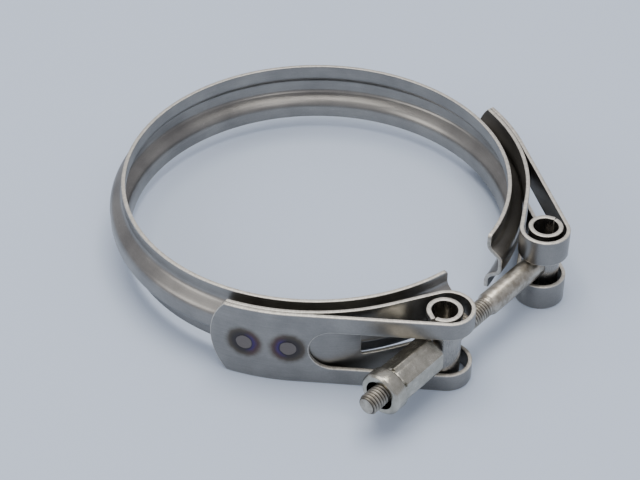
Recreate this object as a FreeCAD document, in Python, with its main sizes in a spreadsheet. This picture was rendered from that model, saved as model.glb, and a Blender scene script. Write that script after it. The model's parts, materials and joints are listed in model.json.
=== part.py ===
import FreeCAD, Part
import Sketcher
import os
from math import acos, asin, atan2, cos, degrees, hypot, radians, sin, sqrt

# V-band retainer clamp with a T-bolt latch, in millimetres.
# The origin is on the ring's axis, half way up the retainer. +Z is the ring's axis.
# The gap in the ring faces -Y and the bolt runs along X. The trunnion and its sleeve nut are
# on the -X side of the gap and the head of the T-bolt is on the +X side.
# Plan angles called "from gap" are measured at the ring's axis from -Y.

DIMENSIONS = {
    # retainer: one roll-formed V section, open towards the axis
    "lip_radius": 58.0,
    "sheet": 1.2,
    "retainer_width": 20.0,
    "groove_depth": 4.1,
    "web_corner_height": 2.5,
    "leg_slope": 35.0,
    "web_bend": 1.6,
    "lip_bend": 2.4,
    "gap_half_angle": 9.9,
    "back_slit": 0.4,
    # the straps and the whole latch sit this far below the middle of the retainer
    "latch_drop": 1.8,
    # straps: one strip each, folded back on itself round a loop
    "strap_width": 25.0,
    "strap_lift": 0.05,
    "leaf_gap": 0.1,
    "strap_end_angle": 76.0,
    "strap_end_radius": 19.0,
    "loop_radius": 6.2,
    "loop_centre_radius": 72.1,
    "loop_centre_angle": 18.5,
    "slot_end_angle": 50.8,
    "inner_slot_end_angle": 37.8,
    "loop_slot_setback": 11.5,
    "trunnion_slot": 13.5,
    "bolt_slot": 8.2,
    # spot welds that hold each strap on the web
    "weld_radius": 2.5,
    "weld_angle_one": 56.1,
    "weld_angle_two": 66.6,
    "weld_dimple": 0.1,
    # rolled barrels that lie across the loops
    "pivot_half_spacing": 24.1,
    "bolt_line": 67.8,
    "barrel_radius": 5.1,
    "barrel_wall": 1.4,
    "barrel_length": 24.6,
    "trunnion_tail": 2.6,
    "head_tail": 1.2,
    "seam_gap": 0.15,
    "trunnion_bore": 3.15,
    # T-bolt, M6 x 1
    "bolt_radius": 3.0,
    "shank_radius": 3.5,
    "thread_pitch": 1.0,
    "thread_depth": 0.6,
    "thread_length": 53.9,
    "bolt_past_trunnion": 33.4,
    "bolt_end_chamfer": 0.8,
    "rod_end_inset": 2.6,
    "weld_bead_radius": 4.2,
    "weld_bead_depth": 1.0,
    # sleeve nut
    "nut_start": 6.05,
    "nut_across_flats": 10.0,
    "nut_hex_length": 17.0,
    "collar_radius": 6.4,
    "collar_length": 5.0,
    "collar_chamfer": 0.6,
    "nut_bore": 3.06,
    "counterbore_radius": 4.3,
    "counterbore_depth": 3.8,
}

Z_AXIS = FreeCAD.Vector(0, 0, 1)
Y_AXIS = FreeCAD.Vector(0, 1, 0)

doc = FreeCAD.newDocument("v_band_clamp")
sheet = doc.addObject("Spreadsheet::Sheet", "dims")


def fill_sheet():
    for row, (alias, value) in enumerate(DIMENSIONS.items(), start=1):
        sheet.set("A%d" % row, alias)
        sheet.set("B%d" % row, str(value))
        sheet.setAlias("B%d" % row, alias)
    doc.recompute()


def size(alias):
    """The value of one cell, in millimetres or degrees."""
    return float(sheet.get(alias))


def from_gap(angle, radius):
    """Plan point at an angle from the gap's centre line, positive towards +X."""
    turn = radians(angle)
    return (radius * sin(turn), -radius * cos(turn))


# ---------------------------------------------------------------- sketch helpers

def line(start, end):
    return {"start": start, "end": end}


def arc(start, end, centre, ccw, radius_expression):
    return {"start": start, "end": end, "centre": centre, "ccw": ccw, "radius": radius_expression}


def offset(piece, shift):
    """The same line or arc moved by shift to the left of its own direction."""
    (x0, y0), (x1, y1) = piece["start"], piece["end"]
    if "centre" not in piece:
        length = hypot(x1 - x0, y1 - y0)
        move_x, move_y = -(y1 - y0) / length * shift, (x1 - x0) / length * shift
        return line((x0 + move_x, y0 + move_y), (x1 + move_x, y1 + move_y))
    cx, cy = piece["centre"]
    radius = hypot(x0 - cx, y0 - cy)
    side = -1 if piece["ccw"] else 1
    scale = (radius + side * shift) / radius
    sign = "+" if side * shift > 0 else "-"
    return arc((cx + (x0 - cx) * scale, cy + (y0 - cy) * scale),
               (cx + (x1 - cx) * scale, cy + (y1 - cy) * scale),
               piece["centre"], piece["ccw"],
               "%s %s %s" % (piece["radius"], sign, piece["half"]))


def reverse(piece):
    """The same line or arc followed the other way."""
    back = dict(piece, start=piece["end"], end=piece["start"])
    if "centre" in piece:
        back["ccw"] = not piece["ccw"]
    return back


def strip_outline(path, thickness, half_expression):
    """Closed outline of a strip of sheet whose middle line is path, with square ends."""
    for piece in path:
        piece["half"] = half_expression
    left = [offset(piece, thickness / 2) for piece in path]
    right = [reverse(offset(piece, -thickness / 2)) for piece in reversed(path)]
    far_cap = line(left[-1]["end"], right[0]["start"])
    near_cap = line(right[-1]["end"], left[0]["start"])
    return left + [far_cap] + right + [near_cap]


def attach(body, name, role, offset_placement=None):
    """New sketch on one of the body's own origin planes."""
    sketch = body.newObject("Sketcher::SketchObject", name)
    plane = [feature for feature in body.Origin.OriginFeatures if feature.Role == role][0]
    sketch.AttachmentSupport = [(plane, "")]
    sketch.MapMode = "FlatFace"
    if offset_placement is not None:
        sketch.AttachmentOffset = offset_placement
    return sketch


def facing(angle, height=0.0, rise=0.0):
    """Offset that turns an XZ sketch to face outwards at an angle from the gap, height away."""
    turn = FreeCAD.Rotation(Y_AXIS, angle)
    return FreeCAD.Placement(turn.multVec(FreeCAD.Vector(0, rise, height)), turn)


def draw(sketch, outline):
    """Draws a closed outline, joined end to end and tangent where an arc runs on."""
    base = sketch.GeometryCount
    for piece in outline:
        (x0, y0), (x1, y1) = piece["start"], piece["end"]
        start, end = FreeCAD.Vector(x0, y0, 0), FreeCAD.Vector(x1, y1, 0)
        if "centre" not in piece:
            sketch.addGeometry(Part.LineSegment(start, end), False)
            continue
        cx, cy = piece["centre"]
        circle = Part.Circle(FreeCAD.Vector(cx, cy, 0), Z_AXIS, hypot(x0 - cx, y0 - cy))
        first, last = atan2(y0 - cy, x0 - cx), atan2(y1 - cy, x1 - cx)
        if not piece["ccw"]:
            first, last = last, first
        sketch.addGeometry(Part.ArcOfCircle(circle, first, last), False)
    count = len(outline)
    for index, piece in enumerate(outline):
        following = (index + 1) % count
        kind = "Tangent" if runs_on(piece, outline[following]) else "Coincident"
        leave = 1 if piece.get("ccw") is False else 2
        enter = 2 if outline[following].get("ccw") is False else 1
        sketch.addConstraint(
            Sketcher.Constraint(kind, base + index, leave, base + following, enter))
    for index, piece in enumerate(outline):
        if "centre" in piece:
            cx, cy = piece["centre"]
            radius = hypot(piece["start"][0] - cx, piece["start"][1] - cy)
            drive(sketch, Sketcher.Constraint("Radius", base + index, radius), piece["radius"])


def heading(piece, at_end):
    """Direction of travel at one end of a line or arc."""
    (x0, y0), (x1, y1) = piece["start"], piece["end"]
    if "centre" not in piece:
        return atan2(y1 - y0, x1 - x0)
    cx, cy = piece["centre"]
    x, y = (x1, y1) if at_end else (x0, y0)
    quarter = radians(90) if piece["ccw"] else -radians(90)
    return atan2(y - cy, x - cx) + quarter


def runs_on(piece, following):
    if "centre" not in piece and "centre" not in following:
        return False
    return cos(heading(piece, True) - heading(following, False)) > 0.99999


def drive(sketch, constraint, expression):
    """Adds a dimension to a sketch and binds it to the spreadsheet."""
    index = sketch.addConstraint(constraint)
    sketch.setExpression("Constraints[%d]" % index, expression)


def fix_centre(sketch, index):
    """Puts an arc's or circle's centre on the sketch's origin."""
    sketch.addConstraint(Sketcher.Constraint("Coincident", index, 3, -1, 1))


def circle_sketch(body, name, role, alias, offset_placement=None):
    sketch = attach(body, name, role, offset_placement)
    sketch.addGeometry(Part.Circle(FreeCAD.Vector(0, 0, 0), Z_AXIS, size(alias)), False)
    fix_centre(sketch, 0)
    drive(sketch, Sketcher.Constraint("Radius", 0, size(alias)), "dims." + alias)
    return sketch


def feature(body, kind, name, profile, **settings):
    """Adds a sketch-based feature; a setting given as text is an expression."""
    made = body.newObject("PartDesign::" + kind, name)
    made.Profile = profile
    for key, value in settings.items():
        if isinstance(value, str):
            made.setExpression(key, value)
        else:
            setattr(made, key, value)
    profile.Visibility = False
    body.Tip = made
    doc.recompute()
    return made


def drill(body, name, role, alias, length_expression, placement=None, outward=True):
    """Round pocket along the normal of a sketch plane, checked to have removed metal."""
    before = body.Shape.Volume
    sketch = circle_sketch(body, name + "_circle", role, alias, placement)
    cut = feature(body, "Pocket", name, sketch, Length=length_expression, Reversed=outward)
    if body.Shape.Volume > before - 1e-6:
        raise RuntimeError(name + " removed nothing")
    return cut


def latch_point(x, y, rise=0.0):
    """A place on the latch, whose middle is below the middle of the retainer."""
    return FreeCAD.Vector(x, y, rise - size("latch_drop"))


def new_body(label, placement=None):
    body = doc.addObject("PartDesign::Body", label)
    body.Label = label
    if placement is not None:
        body.Placement = placement
    return body


# ---------------------------------------------------------------- retainer

def retainer_profile(sketch):
    """V section in the radius-height plane: lip, leg, web, leg and lip of one bent sheet."""
    sheet_size = size("sheet")
    half = sheet_size / 2
    top = size("retainer_width") / 2
    lip = size("lip_radius") + half
    web = lip + size("groove_depth")
    slope = radians(size("leg_slope"))
    web_height = size("web_corner_height")
    lip_height = web_height + size("groove_depth") * sin(slope) / cos(slope)
    corners = [(lip, -top), (lip, -lip_height), (web, -web_height),
               (web, web_height), (lip, lip_height), (lip, top)]
    bends = ["lip_bend", "web_bend", "web_bend", "lip_bend"]
    path = []
    start = corners[0]
    for index, alias in enumerate(bends):
        middle = size(alias) + half
        before, corner, after = corners[index:index + 3]
        bend = corner_arc(before, corner, after, middle, "dims.%s + dims.sheet / 2" % alias)
        path += [line(start, bend["start"]), bend]
        start = bend["end"]
    path.append(line(start, corners[-1]))
    draw(sketch, strip_outline(path, sheet_size, "dims.sheet / 2"))
    constrain_retainer(sketch)


def corner_arc(before, corner, after, radius, expression):
    """Arc of a given radius that rounds the corner between two straight runs."""
    in_x, in_y = unit(before, corner)
    out_x, out_y = unit(corner, after)
    turn = acos(in_x * out_x + in_y * out_y)
    reach = radius * sin(turn / 2) / cos(turn / 2)
    ccw = in_x * out_y - in_y * out_x > 0
    side = radius if ccw else -radius
    start = (corner[0] - in_x * reach, corner[1] - in_y * reach)
    end = (corner[0] + out_x * reach, corner[1] + out_y * reach)
    return arc(start, end, (start[0] - in_y * side, start[1] + in_x * side), ccw, expression)


def unit(start, end):
    length = hypot(end[0] - start[0], end[1] - start[1])
    return (end[0] - start[0]) / length, (end[1] - start[1]) / length


def constrain_retainer(sketch):
    """The groove face is dimensioned; the outer face follows it at the sheet's thickness."""
    low_lip, web, high_lip = 0, 4, 8
    high_back, low_back = 10, 18
    for index in (low_lip, web, high_lip, high_back, low_back):
        sketch.addConstraint(Sketcher.Constraint("Vertical", index))
    for cap in (9, 19):
        sketch.addConstraint(Sketcher.Constraint("Horizontal", cap))
    lip, depth = size("lip_radius"), size("groove_depth")
    for index in (low_lip, high_lip):
        drive(sketch, Sketcher.Constraint("DistanceX", -1, 1, index, 1, lip), "dims.lip_radius")
    drive(sketch, Sketcher.Constraint("DistanceX", -1, 1, web, 1, lip + depth),
          "dims.lip_radius + dims.groove_depth")
    for one, other in ((1, 17), (3, 15), (5, 13), (7, 11)):
        sketch.addConstraint(Sketcher.Constraint("Coincident", one, 3, other, 3))


def retainer_half(label, start_angle, weld_side):
    """Half of the roll-formed ring, from the slit at the back to its end at the gap."""
    body = new_body(label)
    sketch = attach(body, label + "_section", "XZ_Plane",
                    FreeCAD.Placement(FreeCAD.Vector(), FreeCAD.Rotation(Y_AXIS, start_angle)))
    retainer_profile(sketch)
    feature(body, "Revolution", label + "_ring", sketch, ReferenceAxis=(sketch, ["V_Axis"]),
            Angle="180 - dims.gap_half_angle"
                  " - asin(dims.back_slit / 2 / dims.lip_radius) / 1 deg")
    weld_holes(body, label, weld_side, -size("latch_drop"))
    return body


def weld_holes(body, label, side, rise=0.0):
    for count, alias in enumerate(("weld_angle_one", "weld_angle_two"), start=1):
        drill(body, "%s_weld_hole_%d" % (label, count), "XZ_Plane", "weld_radius",
              "dims.loop_centre_radius", facing(side * size(alias), rise=rise))


# ---------------------------------------------------------------- straps

def strap(label, side, slot_alias):
    """Strap folded double: inner leaf on the web, loop round the barrel, outer leaf back."""
    half = size("sheet") / 2
    inner = size("lip_radius") + size("groove_depth") + size("sheet") + size("strap_lift") + half
    outer = inner + size("sheet") + size("leaf_gap")
    loop = size("loop_radius") + half
    reach = size("loop_centre_radius")
    centre_angle = size("loop_centre_angle")
    centre = from_gap(side * centre_angle, reach)
    inner_leave = centre_angle + degrees(acos((inner + loop) / reach))
    outer_leave = centre_angle + degrees(acos((outer - loop) / reach))
    end_angle = size("strap_end_angle")

    def ring_point(angle, radius):
        return from_gap(side * angle, radius)

    def loop_point(angle, radius):
        x, y = from_gap(side * angle, radius)
        return (centre[0] + x, centre[1] + y)

    toward_gap = side < 0
    inner_expression = "dims.lip_radius + dims.groove_depth + 1.5 * dims.sheet + dims.strap_lift"
    path = [
        arc(ring_point(end_angle, inner), ring_point(inner_leave, inner), (0.0, 0.0),
            toward_gap, inner_expression),
        line(ring_point(inner_leave, inner), loop_point(inner_leave, -loop)),
        arc(loop_point(inner_leave, -loop), loop_point(outer_leave, loop), centre,
            not toward_gap, "dims.loop_radius + dims.sheet / 2"),
        line(loop_point(outer_leave, loop), ring_point(outer_leave, outer)),
        arc(ring_point(outer_leave, outer), ring_point(end_angle, outer), (0.0, 0.0),
            not toward_gap, inner_expression + " + dims.sheet + dims.leaf_gap"),
    ]
    body = new_body(label, FreeCAD.Placement(latch_point(0, 0), FreeCAD.Rotation()))
    sketch = attach(body, label + "_plan", "XY_Plane")
    draw(sketch, strip_outline(path, size("sheet"), "dims.sheet / 2"))
    for index in (0, 4, 6, 10):
        fix_centre(sketch, index)
    sketch.addConstraint(Sketcher.Constraint("Coincident", 2, 3, 8, 3))
    for cap in (5, 11):
        sketch.addConstraint(Sketcher.Constraint("PointOnObject", -1, 1, cap))
    feature(body, "Pad", label + "_strip", sketch, Length="dims.strap_width", Midplane=True)
    round_end(body, label, side)
    outer_slot(body, label, side, slot_alias, outer_leave, outer)
    inner_end = inner * sin(radians(inner_leave - size("inner_slot_end_angle")))
    inner_slot(body, label + "_inner_slot", side, "bolt_slot", inner_leave, inner, inner_end)
    if slot_alias != "bolt_slot":
        loop_start = size("loop_slot_setback")
        inner_slot(body, label + "_loop_slot", side, slot_alias, inner_leave, inner, loop_start)
    weld_holes(body, label, side)
    return body


def round_end(body, label, side):
    """Cuts the doubled end of the strap to one wide arc across its whole width."""
    radius = size("strap_end_radius")
    beyond = size("strap_width") / 2 + 1.0
    edge = radius - sqrt(radius ** 2 - beyond ** 2)
    clear = -size("strap_width")
    toward = -side
    sketch = attach(body, label + "_end_shape", "XZ_Plane",
                    facing(side * size("strap_end_angle"), size("lip_radius")))
    low, high = (toward * edge, -beyond), (toward * edge, beyond)
    far_low, far_high = (toward * clear, -beyond), (toward * clear, beyond)
    draw(sketch, [
        arc(low, high, (toward * radius, 0.0), toward < 0, "dims.strap_end_radius"),
        line(high, far_high),
        line(far_high, far_low),
        line(far_low, low),
    ])
    sketch.addConstraint(Sketcher.Constraint("PointOnObject", 0, 3, -1))
    sketch.addConstraint(Sketcher.Constraint("PointOnObject", -1, 1, 0))
    sketch.addConstraint(Sketcher.Constraint("Vertical", 2))
    cut_checked(body, label + "_end", sketch, "dims.strap_end_radius")


def outer_slot(body, label, side, slot_alias, leaf_angle, leaf_radius):
    """Slot with one round end through the outer leaf and on past the loop."""
    width = size(slot_alias)
    run_out = size("loop_centre_radius")
    end = leaf_radius * sin(radians(leaf_angle - size("slot_end_angle")))
    middle = end + width / 2
    toward = -side
    placement = facing(side * leaf_angle, leaf_radius - size("sheet") / 2 - size("leaf_gap") / 2)
    sketch = attach(body, label + "_outer_slot_shape", "XZ_Plane", placement)
    low, high = (toward * middle, -width / 2), (toward * middle, width / 2)
    far_low, far_high = (toward * run_out, -width / 2), (toward * run_out, width / 2)
    draw(sketch, [
        line(far_high, high),
        arc(high, low, (toward * middle, 0.0), toward > 0, "dims.%s / 2" % slot_alias),
        line(low, far_low),
        line(far_low, far_high),
    ])
    sketch.addConstraint(Sketcher.Constraint("PointOnObject", 1, 3, -1))
    sketch.addConstraint(Sketcher.Constraint("Horizontal", 0))
    sketch.addConstraint(Sketcher.Constraint("Vertical", 3))
    cut_checked(body, label + "_outer_slot", sketch, "dims.loop_centre_radius")


def inner_slot(body, name, side, slot_alias, leaf_angle, leaf_radius, end):
    """Square-ended slot from end, measured along the inner leaf, on through the whole loop."""
    width = size(slot_alias)
    run_out = size("loop_centre_radius") / 2
    toward = -side
    placement = facing(side * leaf_angle, leaf_radius - size("sheet") * 2)
    sketch = attach(body, name + "_shape", "XZ_Plane", placement)
    low, high = (toward * end, -width / 2), (toward * end, width / 2)
    far_low, far_high = (toward * run_out, -width / 2), (toward * run_out, width / 2)
    draw(sketch, [line(far_high, high), line(high, low), line(low, far_low),
                  line(far_low, far_high)])
    for index in (0, 2):
        sketch.addConstraint(Sketcher.Constraint("Horizontal", index))
    sketch.addConstraint(Sketcher.Constraint("Symmetric", 1, 1, 1, 2, -1))
    sketch.addConstraint(Sketcher.Constraint("Vertical", 3))
    drive(sketch, Sketcher.Constraint("DistanceY", 1, 2, 1, 1, width), "dims." + slot_alias)
    cut_checked(body, name, sketch, "dims.loop_centre_radius")


def cut_checked(body, name, sketch, depth):
    """Pocket outwards from the sketch plane, checked to have removed metal."""
    before = body.Shape.Volume
    feature(body, "Pocket", name, sketch, Length=depth, Reversed=True)
    if body.Shape.Volume > before - 1.0:
        raise RuntimeError(name + " removed nothing")


def spot_welds(label, side):
    """Two nuggets that pass through both leaves of the strap and the web."""
    web_face = size("lip_radius") + size("groove_depth") + size("weld_dimple")
    strap_face = (size("lip_radius") + size("groove_depth") + 3 * size("sheet")
                  + size("strap_lift") + size("leaf_gap") - size("weld_dimple"))
    nuggets = []
    for count, alias in enumerate(("weld_angle_one", "weld_angle_two"), start=1):
        nugget = doc.addObject("Part::Cylinder", "%s_nugget_%d" % (label, count))
        nugget.setExpression("Radius", "dims.weld_radius")
        nugget.Height = strap_face - web_face
        x, y = from_gap(side * size(alias), web_face)
        outward = FreeCAD.Rotation(Z_AXIS, FreeCAD.Vector(x, y, 0))
        nugget.Placement = FreeCAD.Placement(latch_point(x, y), outward)
        nuggets.append(nugget)
    group = doc.addObject("Part::Compound", label)
    group.Label = label
    group.Links = nuggets
    return group


# ---------------------------------------------------------------- barrels, bolt and nut

def barrel(label, side, tail_alias):
    """Tube rolled from sheet, whose last edge runs straight on over the edge it closes against."""
    wall = size("barrel_wall")
    middle = size("barrel_radius") - wall / 2
    tail = size(tail_alias)
    pivot = latch_point(side * size("pivot_half_spacing"), -size("bolt_line"))
    body = new_body(label, FreeCAD.Placement(pivot, FreeCAD.Rotation()))
    corner = atan2(tail, middle)
    leave = radians(180) - corner if side < 0 else corner
    ccw = side < 0
    turn = 1 if ccw else -1
    tail_corner = atan2(tail, middle - wall / 2)
    seam = tail_corner + size("seam_gap") / hypot(tail, middle - wall / 2)
    butt = leave + turn * seam
    leave_point = (middle * cos(leave), middle * sin(leave))
    tail_point = (leave_point[0] - turn * tail * sin(leave), leave_point[1] + turn * tail * cos(leave))
    path = [
        arc((middle * cos(butt), middle * sin(butt)), leave_point, (0.0, 0.0), ccw,
            "dims.barrel_radius - dims.barrel_wall / 2"),
        line(leave_point, tail_point),
    ]
    sketch = attach(body, label + "_section", "XY_Plane")
    draw(sketch, strip_outline(path, wall, "dims.barrel_wall / 2"))
    for index in (0, 4):
        fix_centre(sketch, index)
    sketch.addConstraint(Sketcher.Constraint("Parallel", 1, 3))
    sketch.addConstraint(Sketcher.Constraint("Perpendicular", 1, 2))
    sketch.addConstraint(Sketcher.Constraint("PointOnObject", -1, 1, 5))
    feature(body, "Pad", label + "_tube", sketch, Length="dims.barrel_length", Midplane=True)
    return body


def t_bolt(label):
    """Threaded rod along -X from the head barrel, with ring crests standing for the thread."""
    pivot = latch_point(size("pivot_half_spacing"), -size("bolt_line"))
    body = new_body(label, FreeCAD.Placement(pivot, FreeCAD.Rotation()))
    radius, pitch = size("bolt_radius"), size("thread_pitch")
    root = radius - size("thread_depth")
    end = -(2 * size("pivot_half_spacing") + size("bolt_past_trunnion"))
    start = end + size("thread_length")
    chamfer = size("bolt_end_chamfer")
    shank, inset = size("shank_radius"), size("rod_end_inset")
    points = [(-inset, 0.0), (-inset, shank), (start + shank - radius, shank), (start, radius)]
    crest = start
    while crest - pitch > end + chamfer:
        points += [(crest - pitch / 2, root), (crest - pitch, radius)]
        crest -= pitch
    points += [(end, radius - chamfer), (end, 0.0)]
    sketch = attach(body, label + "_profile", "XY_Plane")
    closed = zip(points, points[1:] + points[:1])
    draw(sketch, [line(first, second) for first, second in closed])
    axis = len(points) - 1
    sketch.addConstraint(Sketcher.Constraint("PointOnObject", axis, 1, -1))
    sketch.addConstraint(Sketcher.Constraint("Horizontal", axis))
    drive(sketch, Sketcher.Constraint("DistanceY", axis, 2, 0, 2, shank), "dims.shank_radius")
    feature(body, "Revolution", label + "_rod", sketch, ReferenceAxis=(sketch, ["H_Axis"]),
            Angle=360.0)
    return body


def t_bolt_weld(label):
    """Weld inside the head barrel that joins the rod's end to the barrel's wall."""
    x, y = size("pivot_half_spacing"), -size("bolt_line")
    puddle = doc.addObject("Part::Cylinder", label + "_puddle")
    puddle.setExpression("Radius", "dims.weld_bead_radius")
    puddle.setExpression("Height", "2 * dims.weld_bead_depth")
    low = x - size("rod_end_inset") - size("weld_bead_depth")
    along_x = FreeCAD.Rotation(Z_AXIS, FreeCAD.Vector(1, 0, 0))
    puddle.Placement = FreeCAD.Placement(latch_point(low, y), along_x)
    hollow = doc.addObject("Part::Cylinder", label + "_hollow")
    hollow.setExpression("Radius", "dims.barrel_radius - dims.barrel_wall")
    hollow.setExpression("Height", "dims.barrel_length")
    hollow.Placement.Base = latch_point(x, y, -size("barrel_length") / 2)
    inside = doc.addObject("Part::Common", label + "_inside")
    inside.Base, inside.Tool = puddle, hollow
    rod = doc.addObject("Part::Cylinder", label + "_rod")
    rod.setExpression("Radius", "dims.shank_radius")
    rod.setExpression("Height", "dims.barrel_radius")
    rod_start = x - size("rod_end_inset") - size("barrel_radius")
    rod.Placement = FreeCAD.Placement(latch_point(rod_start, y), along_x)
    bead = doc.addObject("Part::Cut", label)
    bead.Label = label
    bead.Base, bead.Tool = inside, rod
    return bead


def sleeve_nut(label):
    """Long hexagon nut with a round collar and a counterbore at its outer end."""
    start = -(size("pivot_half_spacing") + size("nut_start"))
    away = FreeCAD.Rotation(Z_AXIS, 180)
    body = new_body(label, FreeCAD.Placement(latch_point(start, -size("bolt_line")), away))
    circumradius = size("nut_across_flats") / 2 / cos(radians(30))
    corners = [(circumradius * cos(radians(60 * turn)), circumradius * sin(radians(60 * turn)))
               for turn in range(6)]
    hexagon = attach(body, label + "_hexagon", "YZ_Plane")
    draw(hexagon, [line(first, second) for first, second in zip(corners, corners[1:] + corners[:1])])
    through_corners = Part.Circle(FreeCAD.Vector(0, 0, 0), Z_AXIS, circumradius)
    guide = hexagon.addGeometry(through_corners, True)
    fix_centre(hexagon, guide)
    for index in range(6):
        hexagon.addConstraint(Sketcher.Constraint("PointOnObject", index, 1, guide))
    for index in range(1, 6):
        hexagon.addConstraint(Sketcher.Constraint("Equal", 0, index))
    hexagon.addConstraint(Sketcher.Constraint("Horizontal", 1))
    drive(hexagon, Sketcher.Constraint("DistanceY", 4, 1, 1, 1, size("nut_across_flats")),
          "dims.nut_across_flats")
    feature(body, "Pad", label + "_hex", hexagon, Length="dims.nut_hex_length")
    step = FreeCAD.Placement(FreeCAD.Vector(0, 0, size("nut_hex_length")), FreeCAD.Rotation())
    collar = circle_sketch(body, label + "_collar_circle", "YZ_Plane", "collar_radius", step)
    collar_pad = feature(body, "Pad", label + "_collar", collar, Length="dims.collar_length")
    rims = []
    for number, edge in enumerate(collar_pad.Shape.Edges, start=1):
        if edge.Curve.TypeId == "Part::GeomCircle" and edge.Closed:
            rims.append("Edge%d" % number)
    chamfer = body.newObject("PartDesign::Chamfer", label + "_chamfer")
    chamfer.Base = (collar_pad, rims)
    chamfer.setExpression("Size", "dims.collar_chamfer")
    body.Tip = chamfer
    doc.recompute()
    drill(body, label + "_bore", "YZ_Plane", "nut_bore", "dims.bolt_past_trunnion")
    end = size("nut_hex_length") + size("collar_length")
    outside = FreeCAD.Placement(FreeCAD.Vector(0, 0, end), FreeCAD.Rotation())
    drill(body, label + "_counterbore", "YZ_Plane", "counterbore_radius",
          "dims.counterbore_depth", outside, outward=False)
    return body


# ---------------------------------------------------------------- assembly

def build():
    slit = degrees(asin(size("back_slit") / 2 / size("lip_radius")))
    parts = [
        retainer_half("retainer_trunnion_half", 90 + slit, -1),
        retainer_half("retainer_bolt_half", -90 + size("gap_half_angle"), 1),
        strap("trunnion_strap", -1, "trunnion_slot"),
        strap("bolt_strap", 1, "bolt_slot"),
        spot_welds("trunnion_strap_welds", -1),
        spot_welds("bolt_strap_welds", 1),
    ]
    trunnion = barrel("trunnion_barrel", -1, "trunnion_tail")
    through = FreeCAD.Placement(FreeCAD.Vector(0, 0, -2 * size("barrel_radius")), FreeCAD.Rotation())
    drill(trunnion, "trunnion_barrel_bore", "YZ_Plane", "trunnion_bore",
          "dims.barrel_radius * 4", through)
    head = barrel("t_bolt_head", 1, "head_tail")
    drill(head, "t_bolt_head_hole", "YZ_Plane", "shank_radius", "dims.barrel_radius * 2",
          outward=False)
    parts += [trunnion, head, t_bolt("t_bolt"), t_bolt_weld("t_bolt_weld"),
              sleeve_nut("sleeve_nut")]
    return parts


def check(parts):
    doc.recompute()
    for item in doc.Objects:
        if {"Invalid", "Error"} & set(item.State):
            raise RuntimeError("%s failed: %s" % (item.Name, item.State))
    for part in parts:
        if part.Shape.isNull() or not part.Shape.isValid():
            raise RuntimeError(part.Label + " has no valid shape")


def write(parts):
    os.makedirs("parts", exist_ok=True)
    for part in parts:
        part.Shape.exportStep("parts/%s.step" % part.Label)


fill_sheet()
clamp_parts = build()
check(clamp_parts)
write(clamp_parts)
for clamp_part in clamp_parts:
    box = clamp_part.Shape.BoundBox
    print("%-24s %8.1f mm3  x %6.1f..%6.1f  y %6.1f..%6.1f  z %6.1f..%6.1f  solids %d" % (
        clamp_part.Label, clamp_part.Shape.Volume, box.XMin, box.XMax, box.YMin, box.YMax,
        box.ZMin, box.ZMax, len(clamp_part.Shape.Solids)))
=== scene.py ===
import json
from math import acos, atan2, ceil, cos, hypot, pi, radians, sin, sqrt, tan

import bmesh
import bpy
import numpy as np
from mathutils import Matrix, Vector, geometry


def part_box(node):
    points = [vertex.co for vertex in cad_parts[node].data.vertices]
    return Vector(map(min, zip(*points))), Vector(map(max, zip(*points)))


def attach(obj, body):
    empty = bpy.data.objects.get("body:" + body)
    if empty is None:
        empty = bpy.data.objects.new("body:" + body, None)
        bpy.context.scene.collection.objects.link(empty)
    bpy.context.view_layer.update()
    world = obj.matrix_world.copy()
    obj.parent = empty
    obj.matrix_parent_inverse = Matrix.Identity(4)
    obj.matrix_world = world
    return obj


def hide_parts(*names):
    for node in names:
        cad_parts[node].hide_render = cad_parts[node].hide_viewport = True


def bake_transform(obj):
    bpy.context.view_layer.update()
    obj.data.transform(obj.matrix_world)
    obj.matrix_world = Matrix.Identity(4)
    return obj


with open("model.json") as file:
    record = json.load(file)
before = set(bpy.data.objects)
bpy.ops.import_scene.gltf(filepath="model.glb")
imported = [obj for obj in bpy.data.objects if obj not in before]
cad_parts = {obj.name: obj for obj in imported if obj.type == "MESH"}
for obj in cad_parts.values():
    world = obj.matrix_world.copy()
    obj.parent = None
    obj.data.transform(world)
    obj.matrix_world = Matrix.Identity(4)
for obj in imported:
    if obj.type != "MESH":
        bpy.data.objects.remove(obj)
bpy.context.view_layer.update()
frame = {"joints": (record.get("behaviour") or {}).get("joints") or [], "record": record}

# A stainless V-band clamp: a V-section ring, two folded straps, two rolled barrels, a T-bolt and a
# sleeve nut. Metres throughout. The ring's axis is Z, the gap faces -Y and the bolt runs along X.

# ---------------------------------------------------------------- sizes

JOINTS = {joint["name"]: joint for joint in frame["joints"]}
TRUNNION = Vector(JOINTS["trunnion_pivot"]["pos_m"])
HEAD = Vector(JOINTS["bolt_pivot"]["pos_m"])
MOUNT = frame["record"]["mounts"][0]
LIP_RADIUS = MOUNT["dims"]["r_mm"] / 1000
RING_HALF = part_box("retainer_trunnion_half")[1][2]
STRAP_LOW, STRAP_HIGH = (corner[2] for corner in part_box("trunnion_strap"))
STRAP_HALF = (STRAP_HIGH - STRAP_LOW) / 2
BARREL_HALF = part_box("trunnion_barrel")[1][2] - TRUNNION.z
ROD_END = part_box("t_bolt")[0][0]
ROD_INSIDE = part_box("t_bolt")[1][0]
NUT_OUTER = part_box("sleeve_nut")[0][0]
NUT_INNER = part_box("sleeve_nut")[1][0]

SHEET = 0.0012
GROOVE_DEPTH = 0.0041
WEB_CORNER = 0.0025
LEG_SLOPE = radians(35)
WEB_BEND = 0.0016
LIP_BEND = 0.0024
GAP_HALF_ANGLE = radians(9.9)

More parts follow.
